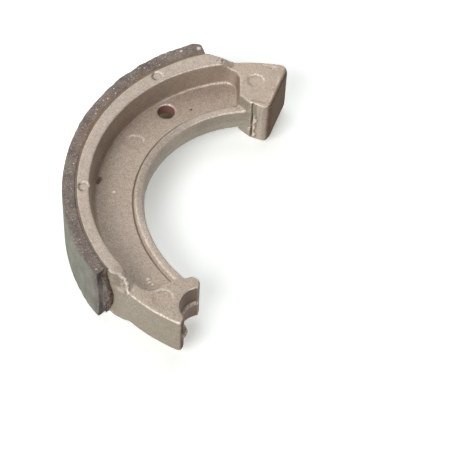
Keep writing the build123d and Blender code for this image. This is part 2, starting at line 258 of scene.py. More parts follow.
# --------------------------------------- soft borders on the casting, in mm
# Each pair is where a mark has ended and where it is full; each four is
# where it starts, is full, is still full and has ended.
ABOVE_WEB = (15.1, 15.7)
BELOW_BEAD = (15.7, 15.2)
POCKET_REACH = (40, 43)
POCKET_CAM_END = (28, 34)
WEB_TO_CAM = (-45, 40)
CAM_FACE_X = (-13.0, -9.0)
CAM_BEVEL_X = (-10.0, -8.6)
COLUMN_X = (-12.0, -11.0)
COLUMN_Y = (30, 33)
BEAD_TOP_HEIGHTS = (15.3, 15.7, 17.0, 17.5)
BEAD_TOP_X = (-28, -38)
END_TOP_HEIGHTS = (19.4, 20.0, 22.2, 22.6)
ANCHOR_TO_CAM = (-30, 30)
NOTCH_EDGE = (NOTCH_RADIUS + 1.2, NOTCH_RADIUS + 0.6)
NOTCH_OVER = (NOTCH_LEDGE[1], NOTCH_LEDGE[1] + 0.6)
NOTCH_SIDE = (-6.8, -3.0)
LEDGE_HEIGHTS = (
    NOTCH_LEDGE[0] - 0.3, NOTCH_LEDGE[0] + 0.4, NOTCH_LEDGE[1] - 0.2, NOTCH_LEDGE[1] + 0.3,
)
BEAD_REACH = (50, 47)
BEAD_CAM_END = (26, 18)
# painted shade at the foot of the bead, which sinks by BEAD_FALL a mm towards the anchor
BEAD_FALL = 0.012
BEAD_FOOT = (15.6, 15.2)
BEAD_FOOT_LOW = (14.2, 14.7)
BEAD_EDGE_HEIGHTS = (15.7, 16.1, 16.8, 17.2)
BEAD_EDGE_Y = (-5, -25)
# distances from the middle of the shoulder's slope: of its painted light, and
# of the painted sheen on what lies round it
SLOPE_REACH = (4.2, 2.2)
SLOPE_ROUND = (4.2, 5.8)
INNER_X = (-13.8, -14.6)
INNER_LOW = (MID_Z + 0.6, MID_Z - 0.6)
HOLE_WALL = (3.5, 3.2)
HOLE_DYE_TOP = (MID_Z + 2.4, MID_Z + 1.6)

# ---------------------------------------------------- colours of the lining
SIDE_TONES = (tone(149, 135, 125), tone(118, 107, 101))
SIDE_DARK = tone(68, 58, 53)
SIDE_LIGHT = tone(180, 167, 157)
SIDE_RUST = tone(168, 126, 92)
SIDE_FLECK = tone(232, 224, 215)
FACE_TONES = (tone(143, 142, 129), tone(114, 112, 103))
FACE_DARK = tone(84, 81, 74)
END_TONES = (tone(150, 147, 136), tone(112, 104, 100))
END_DARK = tone(76, 67, 62)
GLUE_TONES = (tone(102, 82, 64), tone(56, 43, 35))
GLUE_TOP_TONES = (tone(136, 121, 108), tone(162, 135, 110))
GLUE_RUST = tone(158, 108, 68)
# soft borders on the lining and the glue, as for the casting
BOND_REACH = (62.2, 60.4)
RUSTED_Y = (-25, 5)
CROWDED_Y = (-40, -47)
CHIP_HEIGHT = (23, 24)
END_REACH = (61.6, 62.6)
GLUE_TOP = (22.5, 23.8)
GLUE_BELOW = (23.8, 22.5)


class Maths:
    """A number socket that takes Python's arithmetic."""

    def __init__(self, tree, socket):
        self.tree = tree
        self.socket = socket

    def _join(self, operation, first, second, clamp=False):
        node = self.tree.nodes.new("ShaderNodeMath")
        node.operation = operation
        node.use_clamp = clamp
        for slot, value in zip(node.inputs, (first, second)):
            if isinstance(value, Maths):
                self.tree.links.new(value.socket, slot)
            elif value is not None:
                slot.default_value = value
        return Maths(self.tree, node.outputs[0])

    def __add__(self, other):
        return self._join("ADD", self, other)

    __radd__ = __add__

    def __sub__(self, other):
        return self._join("SUBTRACT", self, other)

    def __rsub__(self, other):
        return self._join("SUBTRACT", other, self)

    def __mul__(self, other):
        return self._join("MULTIPLY", self, other)

    __rmul__ = __mul__

    def __truediv__(self, other):
        return self._join("DIVIDE", self, other)

    def __rtruediv__(self, other):
        return self._join("DIVIDE", other, self)

    def __pow__(self, other):
        return self._join("POWER", self, other)

    def __rpow__(self, other):
        return self._join("POWER", other, self)

    def __gt__(self, other):
        return self._join("GREATER_THAN", self, other)

    def __lt__(self, other):
        return self._join("LESS_THAN", self, other)

    def size(self):
        return self._join("ABSOLUTE", self, None)

    def most(self, other):
        return self._join("MAXIMUM", self, other)

    def clamped(self):
        return self._join("ADD", self, 0.0, clamp=True)


class Nodes:
    """A node tree and the ways to add to it."""

    def __init__(self, tree):
        self.tree = tree

    def add(self, kind, settings=None, **values):
        """A node of this kind; values go to sockets by name, _ for a space."""
        node = self.tree.nodes.new(kind)
        for name, value in (settings or {}).items():
            setattr(node, name, value)
        for name, value in values.items():
            self.feed(node.inputs[name.replace("_", " ")], value)
        return node

    def feed(self, socket, value):
        """Links a value to a socket, or sets the socket to it."""
        if isinstance(value, Maths):
            value = value.socket
        if isinstance(value, bpy.types.NodeSocket):
            self.tree.links.new(value, socket)
        elif socket.type == "RGBA" and len(value) == 3:
            socket.default_value = (*value, 1.0)
        else:
            socket.default_value = value

    def number(self, socket):
        return Maths(self.tree, socket)

    def seen_directly(self):
        """1 for what the camera sees, itself or in a gloss or through glass."""
        path = self.add("ShaderNodeLightPath")
        rays = ("Is Camera Ray", "Is Glossy Ray", "Is Transmission Ray")
        camera_ray, glossy_ray, clear_ray = (self.number(path.outputs[ray]) for ray in rays)
        return (camera_ray + glossy_ray + clear_ray).clamped()


class Finish(Nodes):
    """A new material and the nodes that make it."""

    def __init__(self, name):
        self.material = bpy.data.materials.new(name)
        self.material.use_nodes = True
        super().__init__(self.material.node_tree)
        self.shader = self.tree.nodes["Principled BSDF"]
        self.place = self.add("ShaderNodeTexCoord").outputs["Object"]
        self.x, self.y, self.z = (axis / MM for axis in self.axes(self.place))

    def read_directions(self):
        """Where the surface faces, and where it is round the drum axis."""
        geometry = self.add("ShaderNodeNewGeometry")
        self.nx, self.ny, self.nz = self.axes(geometry.outputs["Normal"])
        self.reach = (self.x * self.x + self.y * self.y) ** 0.5
        self.outward = (self.x * self.nx + self.y * self.ny) / self.reach

    def axes(self, vector):
        parts = self.add("ShaderNodeSeparateXYZ", Vector=vector)
        return [self.number(out) for out in parts.outputs]

    def away(self, place):
        """Distance in mm from an upright line at this x and y."""
        return ((self.x - place[0]) ** 2 + (self.y - place[1]) ** 2) ** 0.5

    def noise(self, scale, detail=3.0, rough=0.55, stretch=(1, 1, 1)):
        """Fractal noise with this many waves a metre, from 0 to 1."""
        mapping = self.add("ShaderNodeMapping", Vector=self.place, Scale=stretch)
        node = self.add(
            "ShaderNodeTexNoise",
            Vector=mapping.outputs[0],
            Scale=scale,
            Detail=detail,
            Roughness=rough,
        )
        return self.number(node.outputs[0])

    def flecks(self, scale, reach, share):
        """Small round spots, in this share of the cells left out."""
        cells = self.add("ShaderNodeTexVoronoi", Vector=self.place, Scale=scale)
        pick = self.axes(cells.outputs["Color"])[0]
        return self.fade(cells.outputs["Distance"], reach, reach * 0.6) * (pick > share)

    def attribute(self, name):
        node = self.add("ShaderNodeAttribute", {"attribute_name": name})
        return self.number(node.outputs["Fac"])

    def fade(self, value, low, high):
        """0 below low and 1 above high, smoothly."""
        node = self.add(
            "ShaderNodeMapRange",
            {"interpolation_type": "SMOOTHSTEP"},
            Value=value,
            From_Min=low,
            From_Max=high,
        )
        return self.number(node.outputs["Result"])

    def band(self, value, start, full, still, end):
        """1 from full to still, and 0 below start and above end."""
        return self.fade(value, start, full) * self.fade(value, end, still)

    def mix(self, share, first, second, blend="MIX"):
        node = self.add(
            "ShaderNodeMix",
            {"data_type": "RGBA", "blend_type": blend, "clamp_factor": True},
            Factor=share,
        )
        self.feed(node.inputs[6], first)
        self.feed(node.inputs[7], second)
        return node.outputs[2]

    def layered(self, colour, layers):
        """The colour with each share and colour of layers laid over it."""
        for share, over in layers:
            colour = self.mix(share, colour, over)
        return colour

    def bump(self, height, depth):
        node = self.add("ShaderNodeBump", Height=height, Strength=0.6, Distance=depth)
        return node.outputs["Normal"]

    def set(self, **values):
        for name, value in values.items():
            self.feed(self.shader.inputs[name.replace("_", " ")], value)
        return self.material


# ------------------------------------------------------ the casting's finish
class CastSkin(Finish):
    """The casting's finish, with the parts of its skin as masks."""

    def __init__(self):
        super().__init__("cast_aluminium")
        self.read_directions()
        self.flat = self.fade(self.nz, 0.7, 0.9)
        self.upright = self.fade(self.nz.size(), 0.4, 0.2)
        notch = self.fade(self.away(NOTCH_PLACE), *NOTCH_EDGE)
        self.notch = notch * self.fade(self.nz, 0.8, 0.6)
        column = self.fade(self.x, *COLUMN_X) * self.fade(self.y, *COLUMN_Y)
        self.column = self.upright * column
        bevel = self.fade(self.nx, 0.35, 0.6) * (1 - self.upright)
        self.bevel = bevel * self.fade(self.x, *CAM_BEVEL_X)
        shaded = self.fade(self.nx, 0.4, 0.85) * self.fade(self.x, *CAM_FACE_X)
        self.shaded = self.upright * shaded * (1 - self.notch)
        bead = self.fade(self.outward, 0.15, 0.4) * self.fade(self.reach, *BEAD_REACH)
        self.bead_wall = bead * self.fade(self.y, *BEAD_CAM_END) * (1 - self.notch)
        self.slope = self.away(SLOPE_PLACE)
        self.speck = self.noise(2200, detail=4, rough=0.8)
        self.fine = self.noise(3900, detail=3, rough=0.7)
        cloud = self.noise(480, detail=3, rough=0.6)
        grain = self.speck * 0.45 + self.fine * 0.43 + cloud * 0.12
        self.shade = self.fade(grain, 0.41, 0.59)


def blasted_metal(f):
    """Satin grain of the bare metal, in patches of two warm greys."""
    patches = f.fade(f.noise(85, detail=4, rough=0.6), 0.3, 0.7)
    return f.mix(f.shade, f.mix(patches, *DULL_METAL), f.mix(patches, *BRIGHT_METAL))


def painted_wall_shade(f):
    """Painted shade on the web and pocket walls, and painted shade with a greenish floor
    reflection on the outer walls.
    """
    walled = f.fade(f.z, *ABOVE_WEB) * f.fade(f.reach, *POCKET_REACH)
    walled = walled * f.fade(f.outward, 0.5, 0.2) * (1 - f.notch)
    web = f.flat * f.fade(f.z, *BELOW_BEAD) * (0.4 + 0.6 * f.fade(f.y, *WEB_TO_CAM))
    forward = f.fade(f.nx * FRONT[0] + f.ny * FRONT[1], -0.1, 0.3)
    fronts = f.upright * forward * (1 - walled) * (1 - f.column * 0.95)
    steep = f.fade(f.nz.size(), 0.74, 0.5)
    cam_end = f.fade(f.nx, -0.4, -0.85) * f.fade(f.y, *POCKET_CAM_END)
    return [
        (web, WEB_SHADE),
        (fronts, FRONT_SHADE_AND_BOUNCE),
        (steep * walled, POCKET_SHADE),
        (f.upright * walled * cam_end, POCKET_END_SHADE),
    ]


def cam_face_shade(f):
    """Painted shade on the cam end's face, partly its rubbed brown, on its bevel and in a
    dark line along that.
    """
    line = f.band(f.nx, 0.66, 0.76, 0.9, 0.97) * f.fade(f.x, *CAM_BEVEL_X)
    return [
        (f.shaded, CAM_FACE_SHADE),
        (f.bevel * 0.9, BEVEL_SHADE),
        (line * f.fade(f.nz, 0.2, 0.4), BEVEL_LINE_SHADE),
    ]


def top_tints(f):
    """Painted shade on the middle of the bead's top, and the warmer tops of both end blocks.
    """
    bead_top = f.flat * f.band(f.z, *BEAD_TOP_HEIGHTS) * f.fade(f.x, *BEAD_TOP_X)
    end_tops = f.flat * f.band(f.z, *END_TOP_HEIGHTS)
    end_tint = f.mix(f.fade(f.y, *ANCHOR_TO_CAM), ANCHOR_TOP_TINT, CAM_TOP_TINT)
    return [(bead_top, BEAD_TOP_SHADE), (end_tops, end_tint)]


def notch_shade(f):
    """Painted shade on the wall of the notch, darkest on the left above its ledge."""
    above = f.mix(f.fade(f.x, *NOTCH_SIDE), *NOTCH_UPPER_SHADES)
    return [(f.notch, f.mix(f.fade(f.z, *NOTCH_OVER), NOTCH_LOW_SHADE, above))]


def wall_marks(f):
    """Painted light on the shoulder's slope, painted shade at the bead's foot, painted floor
    light on the hub side, and a streaked column.
    """
    painted_slope_light = f.fade(f.slope, *SLOPE_REACH) * f.band(f.nz, 0.2, 0.4, 0.88, 0.97)
    # painted shade along the foot of the bead
    foot = f.bead_wall * f.fade(f.z - f.y * BEAD_FALL, *BEAD_FOOT)
    foot = foot * f.fade(f.z, *BEAD_FOOT_LOW)
    # painted floor light on the hub side's wall, more on its lower half
    inner = f.upright * f.fade(f.outward, -0.5, -0.8) * f.fade(f.x, *INNER_X)
    lower = inner * f.fade(f.z, *INNER_LOW)
    streaks = f.fade(f.noise(700, stretch=(1, 1, 0.04)), 0.4, 0.6)
    return [
        (painted_slope_light * 0.4, SHOULDER_LIGHT),
        (foot * 0.8, BEAD_FOOT_SHADE),
        (inner * 0.1 + lower * 0.15, INNER_BOUNCE_LIGHT),
        (f.column * streaks * 0.25, COLUMN_STREAK),
    ]


def wear_and_painted_highlight(f):
    """Broken bright painted light: rubbed edges with painted highlight, and painted
    highlights where the skin faces up and forward, on the bead's edge and on the notch's
    ledge.
    """
    sheen = f.fade(f.nx * 0.2 - f.ny * 0.66 + f.nz * 0.72, 0.85, 0.96)
    sheen = sheen * (0.2 + 0.8 * f.fade(f.slope, *SLOPE_ROUND))
    worn = f.attribute("worn") * (0.45 + 0.3 * sheen) * (1 - f.bevel * 0.7)
    bead_edge_highlight = f.bead_wall * f.band(f.z, *BEAD_EDGE_HEIGHTS) * f.fade(f.y, *BEAD_EDGE_Y)
    ledge = f.band(f.z, *LEDGE_HEIGHTS) * f.notch
    broken = 0.35 + 0.65 * f.fade(f.noise(1500), 0.42, 0.56)
    return (worn + sheen * 0.9 + bead_edge_highlight * 0.35 + ledge * 0.6).clamped() * broken


def hole_dye(f):
    """Red-brown blotches on the wall of the spring hole."""
    blotch = f.fade(f.noise(1100, detail=4, rough=0.7), 0.4, 0.6)
    wall = f.fade(f.away(HOLE_PLACE), *HOLE_WALL) * f.fade(f.z, *HOLE_DYE_TOP)
    return [(wall, f.mix(blotch, *HOLE_DYE))]


def cast_aluminium():
    """Blasted cast aluminium: satin grain, bright worn edges with painted highlights, and
    corners, walls and faces darkened with painted shade.
    """
    f = CastSkin()
    tints = painted_wall_shade(f) + cam_face_shade(f) + top_tints(f) + notch_shade(f)
    toned = f.mix(1.0, blasted_metal(f), f.layered(PLAIN, tints), "MULTIPLY")
    # rubbed edges with painted highlights, then rust and painted shade
    wear = [(wear_and_painted_highlight(f), RUBBED_METAL_AND_HIGHLIGHT), (f.attribute("dirt_and_shade"), DIRT_AND_SHADE)]
    return f.set(
        Base_Color=f.layered(toned, wall_marks(f) + wear + hole_dye(f)),
        Roughness=0.42 + f.shade * 0.14 + f.shaded * 0.35,
        Metallic=0.1,
        Specular_IOR_Level=0.3,
        Normal=f.bump(f.speck * 0.6 + f.fine * 0.4, 0.00012),
    )


# ------------------------------------------------------- the lining's finish
def lining_side(f, grain):
    """Pitted side: mottled, rusted near the bond and flecked with white."""
    patches = f.noise(160, detail=4, rough=0.65)
    rust = f.fade(f.noise(240, detail=5, rough=0.75), 0.4, 0.65)
    near_bond = f.fade(f.reach, *BOND_REACH) * f.fade(f.y, *RUSTED_Y)
    crowd = f.fade(f.noise(130, detail=2), 0.34, 0.56)
    crowd = crowd.most(f.fade(f.y, *CROWDED_Y) * 0.8)
    small = f.flecks(1700, 0.32, 0.62) * crowd * 0.85
    spots = small.most(f.flecks(640, 0.2, 0.76))
    for x, y, radius in END_CHIPS:
        chip = f.fade(f.away((x, y)), radius, radius * 0.5)
        spots = spots.most(chip * f.fade(f.z, *CHIP_HEIGHT))
    return f.layered(
        f.mix(f.fade(patches, 0.35, 0.65), *SIDE_TONES),
        [
            (f.fade(grain, 0.5, 0.34) * 0.8, SIDE_DARK),
            (f.fade(grain, 0.52, 0.7) * 0.75, SIDE_LIGHT),
            (near_bond * rust * 0.6, SIDE_RUST),
            (spots, SIDE_FLECK),
        ],
    )


def rubbing_face(f, grain):
    """Smooth grey-green face that runs on the drum."""
    mottle = f.noise(210, detail=5, rough=0.7)
    streak = f.noise(300, detail=4, rough=0.7, stretch=(1, 1, 0.2))
    ground = f.mix(f.fade(mottle * 0.65 + streak * 0.35, 0.36, 0.64), *FACE_TONES)
    return f.mix(f.fade(grain, 0.5, 0.34) * 0.4, ground, FACE_DARK)


def lining_end(f):
    """End of the block, streaked down its height."""
    layers = f.noise(560, detail=5, rough=0.7, stretch=(1, 1, 0.18))
    pale = f.mix(f.fade(f.reach, *END_REACH), *END_TONES)
    return f.mix(f.fade(layers, 0.44, 0.56), pale, END_DARK)


def friction_material():
    """Pressed lining: pitted and flecked on its sides, smooth where it rubs."""
    f = Finish("friction_material")
    f.read_directions()
    grain = f.noise(1500, detail=6, rough=0.8)
    on_end = f.fade(f.outward.size(), 0.72, 0.4) * f.fade(f.nz.size(), 0.7, 0.4)
    sides = [
        (f.fade(f.outward, 0.6, 0.85), rubbing_face(f, grain)),
        (on_end, lining_end(f)),
    ]
    return f.set(
        Base_Color=f.layered(lining_side(f, grain), sides),
        Roughness=0.72,
        Specular_IOR_Level=0.35,
        Normal=f.bump(grain, 0.0002),
    )


def adhesive():
    """Dark squeezed-out glue with bits of rust in it and a smeared top."""
    f = Finish("adhesive")
    patches = f.noise(900, detail=5, rough=0.75)
    bits = f.fade(f.noise(520, detail=3, rough=0.6), 0.54, 0.68)
    smears = f.fade(f.noise(170, detail=4, rough=0.7), 0.42, 0.62)
    body = f.mix(f.fade(patches, 0.4, 0.6), *GLUE_TONES)
    layers = [
        (f.fade(f.z, *GLUE_TOP) * 0.9, f.mix(smears, *GLUE_TOP_TONES)),
        (bits * f.fade(f.z, *GLUE_BELOW), GLUE_RUST),
    ]
    return f.set(
        Base_Color=f.layered(body, layers),
        Roughness=0.55,
        Normal=f.bump(patches, 0.0003),
    )


# --------------------------------------------------------- shaping, in mm
def polar(radius, angle, height=0.0):
    turn = math.radians(angle)
    return Vector((radius * math.cos(turn), radius * math.sin(turn), height))


def between(table, at):
    """The value at a place in a table of (place, value) pairs."""
    for (a, low), (b, high) in zip(table, table[1:]):
        if at <= b:
            share = min(max((at - a) / (b - a), 0.0), 1.0)
            return low + (high - low) * share
    return table[-1][1]


def ramp(value, low, high):
    """0 below low and 1 above high, smoothly."""
    share = min(max((value - low) / (high - low), 0.0), 1.0)
    return share * share * (3 - 2 * share)


def plateau(value, start, full, still, end):
    """1 from full to still, and 0 below start and above end."""
    return ramp(value, start, full) * ramp(value, end, still)


def bell(offset, width):
    """1 on a line, falling away over its width."""
    return math.exp(-((offset / width) ** 2))


def near(place, x, y, radius):
    """1 close to an upright line at x and y, and 0 past the radius."""
    return ramp(math.hypot(place.x - x, place.y - y), radius, radius * 0.45)


def wave(place, scale, seed=0.0):
    """Smooth noise from about -1 to 1 whose bumps are scale wide."""
    return noise.noise(Vector(place) / scale + Vector((seed, seed * 1.7, -seed)))


def new_piece(name, bm, finish, node):
    """The bmesh, in millimetres, as a finished piece of the shoe."""
    bmesh.ops.scale(bm, vec=(MM, MM, MM), verts=bm.verts)
    for face in bm.faces:
        face.smooth = True
    mesh = bpy.data.meshes.new(name)
    bm.to_mesh(mesh)
    bm.free()
    mesh.materials.append(finish)
    piece = bpy.data.objects.new(name, mesh)
    bpy.context.scene.collection.objects.link(piece)
    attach(piece, "root")
    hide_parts(node)


def fine_copy(node, voxel):
    """The node's shape as an even, closed mesh, in millimetres."""
    bm = bmesh.new()
    bm.from_mesh(node.data)
    bmesh.ops.remove_doubles(bm, verts=bm.verts, dist=1e-6)
    mesh = bpy.data.meshes.new("plain")
    bm.to_mesh(mesh)
    bm.free()
    thing = bpy.data.objects.new("plain", mesh)
    bpy.context.scene.collection.objects.link(thing)
    remesh = thing.modifiers.new("even", "REMESH")
    remesh.mode = "VOXEL"
    remesh.voxel_size = voxel * MM
    graph = bpy.context.evaluated_depsgraph_get()
    even = bpy.data.meshes.new_from_object(thing.evaluated_get(graph))
    bm = bmesh.new()
    bm.from_mesh(even)
    bpy.data.objects.remove(thing)
    bpy.data.meshes.remove(even)
    bmesh.ops.scale(bm, vec=(1 / MM, 1 / MM, 1 / MM), verts=bm.verts)
    return bm


# ------------------------------------------------------ the casting's relief
# Each of these gives the lift, the wear with painted highlight, and the
# darkening by rust and painted shade of one kind of mark at a place.
def mark_ridge(place):
    """Burr and groove round an ejector mark, with a painted highlight on its far side and
    painted shade on its near left side.
    """
    for x, y, height, radius, burr_highlight, groove_shade in MARKS:
        away = math.hypot(place.x - x, place.y - y)
        if abs(place.z - height) < 1.0 and 0 < away < radius + MARK_SPREAD:
            right, up = (place.x - x) / away, (place.y - y) / away
            ring = bell(away - radius, MARK_LINE)
            bright = ring * ramp(up, 0.1, 0.6) * burr_highlight
            dark = ring * ramp(-0.85 * right - 0.5 * up, 0.1, 0.7) * groove_shade
            return BURR_HEIGHT * bright - GROOVE_DEPTH * dark, 0.8 * bright, 0.6 * dark
    return 0.0, 0.0, 0.0


def foot_relief(place, normal):
    """Step and ragged flash down the front of the cam foot, with painted shade in the step.
    """
    inside = FOOT_X[0] < place.x < FOOT_X[1] and FOOT_Y[0] < place.y < FOOT_Y[1]
    if not inside or normal.y >= -0.4:
        return 0.0, 0.0, 0.0
    line = Vector((0, 0, place.z))
    run = plateau(place.z, *STEP_RUN)
    shift = 0.12 * wave(line, 3.0)
    width = STEP_WIDTH + 0.12 * wave(line, 4.0, 5.0)
    step = bell(place.x - STEP_X - shift, width) * run
    crest = bell(place.x - CREST_X - shift, CREST_WIDTH) * run
    edge = FLASH_EDGE + 0.75 * wave(line, 2.4, 1.0) + 0.3 * wave(line, 0.9, 2.0)
    flash = ramp(place.x, *FLASH_ROOT) * ramp(place.x, edge, edge - 0.5)
    flash *= plateau(place.z, *FLASH_RUN)
    hollow = plateau(place.x, *FOOT_HOLLOW_X) * run
    lift = FLASH_HEIGHT * flash - STEP_DEPTH * step - FOOT_HOLLOW_DEPTH * hollow
    return lift, flash + 0.35 * crest, 0.9 * step


def web_marks(place):
    """A pit darkened with painted shade, a speck, flow marks and a rust spot on the web."""
    if not WEB_HEIGHTS[0] < place.z < WEB_HEIGHTS[1]:
        return 0.0, 0.0, 0.0
    pit = near(place, *WEB_PIT)
    speck = near(place, *WEB_SPECK)
    flow = max(near(place, *mark) for mark in FLOW_MARKS)
    rust = max(near(place, *spot) for spot in RUST_SPOT)
    lift = 0.15 * speck + 0.2 * flow * (1 + wave(place, 0.7)) - 0.3 * pit
    dirt_and_shade = pit + rust * (0.7 + 0.5 * ramp(wave(place, 0.9), -0.6, 0.0))
    return lift, speck + 1.1 * flow, dirt_and_shade


def cam_lines(place):
    """Ragged bright lines of painted highlight, and a dark line of painted shade, on top of
    the cam block.
    """
    if place.z <= CAM_TOP_FROM:
        return 0.0, 0.0, 0.0
    worn = 0.0
    for (x, y), (end_x, end_y) in CAM_LINES:
        whole = Vector((end_x - x, end_y - y, 0))
        along = whole.normalized()
        offset = Vector((place.x - x, place.y - y, 0))
        run = offset.dot(along)
        if 0 < run < whole.length:
            aside = (offset - along * run).length + 0.3 * wave(place, 1.2)
            broken = ramp(wave(place, 1.5, 8.0), -0.4, 0.1)
            worn += 0.8 * ramp(aside, *CAM_LINE_EDGE) * broken
    (x, y), (end_x, end_y) = FRONT_LINE
    if not (x < place.x < end_x and place.z < CAM_EDGE_TO):
        return 0.0, worn, 0.0
    off = place.y - y - (end_y - y) * (place.x - x) / (end_x - x)
    aside = abs(off + 0.15 * wave(place, 0.8))
    return 0.0, worn, 0.5 * ramp(aside, *FRONT_LINE_EDGE)


def notch_ridge(place):
    """Lumps along the parting line in the notch."""
    away = math.hypot(place.x - NOTCH_PLACE[0], place.y - NOTCH_PLACE[1])
    if away >= NOTCH_RADIUS + 0.3:
        return 0.0, 0.0, 0.0
    ridge = ramp(abs(place.z - LUMPS_Z), *LUMPS_HALF) * ramp(wave(place, 1.4, 2.0), -0.5, 0.2)
    return LUMPS_HEIGHT * ridge * (0.5 + wave(place, 1.1, 4.0)), 0.0, 0.0


def rough_patches(place):
    """Lumpy patches on the rim and on the cam block's lip, with painted highlight on the
    lumps and painted shade in the hollows.
    """
    lift = worn = dirt_and_shade = 0.0
    for x, y, top, radius, dark in ROUGH_PATCHES:
        if abs(place.z - top) < 1.5:
            inside = near(place, x, y, radius)
            lumps = wave(place, 0.8, 12.0)
            lift += 0.2 * inside * lumps
            worn += 0.7 * inside * ramp(lumps, 0.1, 0.4)
            dirt_and_shade += dark * inside * ramp(lumps, 0.0, -0.3)
    return lift, worn, dirt_and_shade


def shoulder_crumbs(place):
    """Crumbs of bright metal along the anchor shoulder."""
    crumbs = max(near(place, x, y, CRUMB_RADIUS) for x, y in CRUMBS)
    crumbs *= ramp(place.z, *CRUMB_FROM) * ramp(wave(place, 0.75, 6.0), 0.05, 0.4)
    return CRUMB_HEIGHT * crumbs, 0.9 * crumbs, 0.0


RELIEFS = (mark_ridge, web_marks, cam_lines, notch_ridge, rough_patches, shoulder_crumbs)


def shoulder_hollow(place):
    """How far the anchor shoulder's outer wall is sunk at a place."""
    off_x, off_y = place.x - SHOULDER_PLACE[0], place.y - SHOULDER_PLACE[1]
    outside = off_x * FRONT[0] + off_y * FRONT[1]
    along = abs(off_y * FRONT[0] - off_x * FRONT[1])
    sides = ramp(along, *SHOULDER_ALONG) * ramp(outside, *SHOULDER_INTO)
    return SHOULDER_DEPTH * sides * ramp(place.z, *SHOULDER_UP)


def convexity(vert):
    """Above 0 on an outer edge and below 0 in an inner corner."""
    steps = [(vert.co - edge.other_vert(vert).co).normalized() for edge in vert.link_edges]
    return sum(step.dot(vert.normal) for step in steps) / len(steps)


# ------------------------------------------------------------------ pieces
def round_off(bm):
    """Brings the spring hole and the cam foot's corner back to their radii."""
    for vert in bm.verts:
        away = Vector((vert.co.x - HOLE_PLACE[0], vert.co.y - HOLE_PLACE[1], 0))
        if abs(away.length - HOLE_RADIUS) < 0.3 and abs(vert.co.z - MID_Z) < 2.0:
            vert.co += away.normalized() * (HOLE_RADIUS - away.length)
        corner = Vector((vert.co.x - COLUMN_PLACE[0], vert.co.y - COLUMN_PLACE[1], 0))
        if corner.x > 0 and -4 < corner.y < 0 and corner.length > COLUMN_RADIUS:
            vert.co += corner.normalized() * (COLUMN_RADIUS - corner.length)


def add_relief(bm):
    """Moves the skin by its marks, and gives each point's wear with painted highlight, and
    its darkening by rust and painted shade.
    """
    marks = []
    for vert in bm.verts:
        place = vert.co.copy()
        sunk = shoulder_hollow(place)
        place -= Vector((*FRONT, 0)) * sunk
        reliefs = [foot_relief(place, vert.normal)]
        reliefs += [relief(place) for relief in RELIEFS]
        lift, worn, dirt_and_shade = (sum(values) for values in zip(*reliefs))
        lift += 0.22 * sunk * wave(place, 1.3, 11.0)
        vert.co = place + vert.normal * lift
        marks.append((worn, dirt_and_shade))
    return marks


def store_wear(bm, marks):
    """Keeps wear and darkening on the mesh: edges bright with wear and painted highlight,
    corners dark with painted shade.
    """
    wear_and_highlight_layer = bm.verts.layers.float.new("worn")
    dirt_and_shade_layer = bm.verts.layers.float.new("dirt_and_shade")
    for vert, (worn, dirt_and_shade) in zip(bm.verts, marks):
        bend = convexity(vert)
        broken = 0.75 + 0.5 * wave(vert.co, 1.1, 9.0)
        dull = near(vert.co, *SHOULDER_DULL) * ramp(vert.co.z, *SHOULDER_DULL_FROM)
        bright = 1.8 * worn + broken * ramp(bend, *RUBBED_HIGHLIGHT_BEND)
        vert[wear_and_highlight_layer] = min((1 - 0.6 * dull) * bright, 2.0)
        # painted shade in inner corners, weaker in the corner beside the shoulder
        shade_kept = 1 - 0.85 * near(vert.co, *SHOULDER_LESS_SHADE)
        corner = 0.55 * shade_kept * ramp(bend, *SHADED_CORNER_BEND)
        vert[dirt_and_shade_layer] = min(dirt_and_shade + 0.27 * dull + corner, 1.0)


def roughen(bm):
    """Makes the skin wavy, and keeps it inside the casting's own box."""
    for vert in bm.verts:
        lift = sum(high * wave(vert.co, wide, seed) for high, wide, seed in SKIN_WAVES)
        place = vert.co + vert.normal * lift
        if place.z > SHOE_WIDTH - 0.4:
            place.z -= RIM_DROP
        place.x = min(place.x, CAST_RIGHT)
        place.y = min(place.y, CAST_TOP)
        place.z = min(max(place.z, 0.0), SHOE_WIDTH)
        vert.co = place


def casting(node, finish):
    bm = fine_copy(node, SKIN_VOXEL)
    round_off(bm)
    bmesh.ops.smooth_vert(
        bm, verts=bm.verts, factor=0.5, use_axis_x=True, use_axis_y=True, use_axis_z=True
    )
    bm.normal_update()
    marks = add_relief(bm)
    bm.normal_update()
    store_wear(bm, marks)
    roughen(bm)
    new_piece("cast_shoe", bm, finish, "shoe_body")


def swept_block(across, up, along, point, crowding=0.0):
    """A closed block spun from a grid, each of its points placed by point.

    point takes 0 to 1 along the block, outwards and up.  Crowding draws the
    rows of the grid towards its lower and upper side.
    """
    bm = bmesh.new()
    bmesh.ops.create_grid(bm, x_segments=across, y_segments=up, size=0.5)
    for vert in bm.verts:
        u, w = vert.co.x + 0.5, vert.co.y + 0.5
        w = (1 - crowding) * w + crowding * (0.5 - 0.5 * math.cos(math.pi * w))
        vert.co = (1 + u, 0, w)
    bmesh.ops.spin(
        bm,
        geom=bm.verts[:] + bm.edges[:] + bm.faces[:],
        cent=(0, 0, 0),
        axis=(0, 0, 1),
        dvec=(0, 0, 0),
        angle=1.0,
        steps=along,
        use_duplicate=False,
    )
    for vert in bm.verts:
        u = math.hypot(vert.co.x, vert.co.y) - 1
        t = math.atan2(vert.co.y, vert.co.x)
        vert.co = point(t, u, vert.co.z)
    bmesh.ops.recalc_face_normals(bm, faces=bm.faces)
    return bm


def end_bulge(height):
    """How far the lining's anchor end runs on at the bond, in degrees."""
    share = min(max((height - END_SWELL_FROM) / END_SWELL_OVER, 0.0), 1.0)
    return END_SWELL * math.sin(math.pi * share) ** 1.2


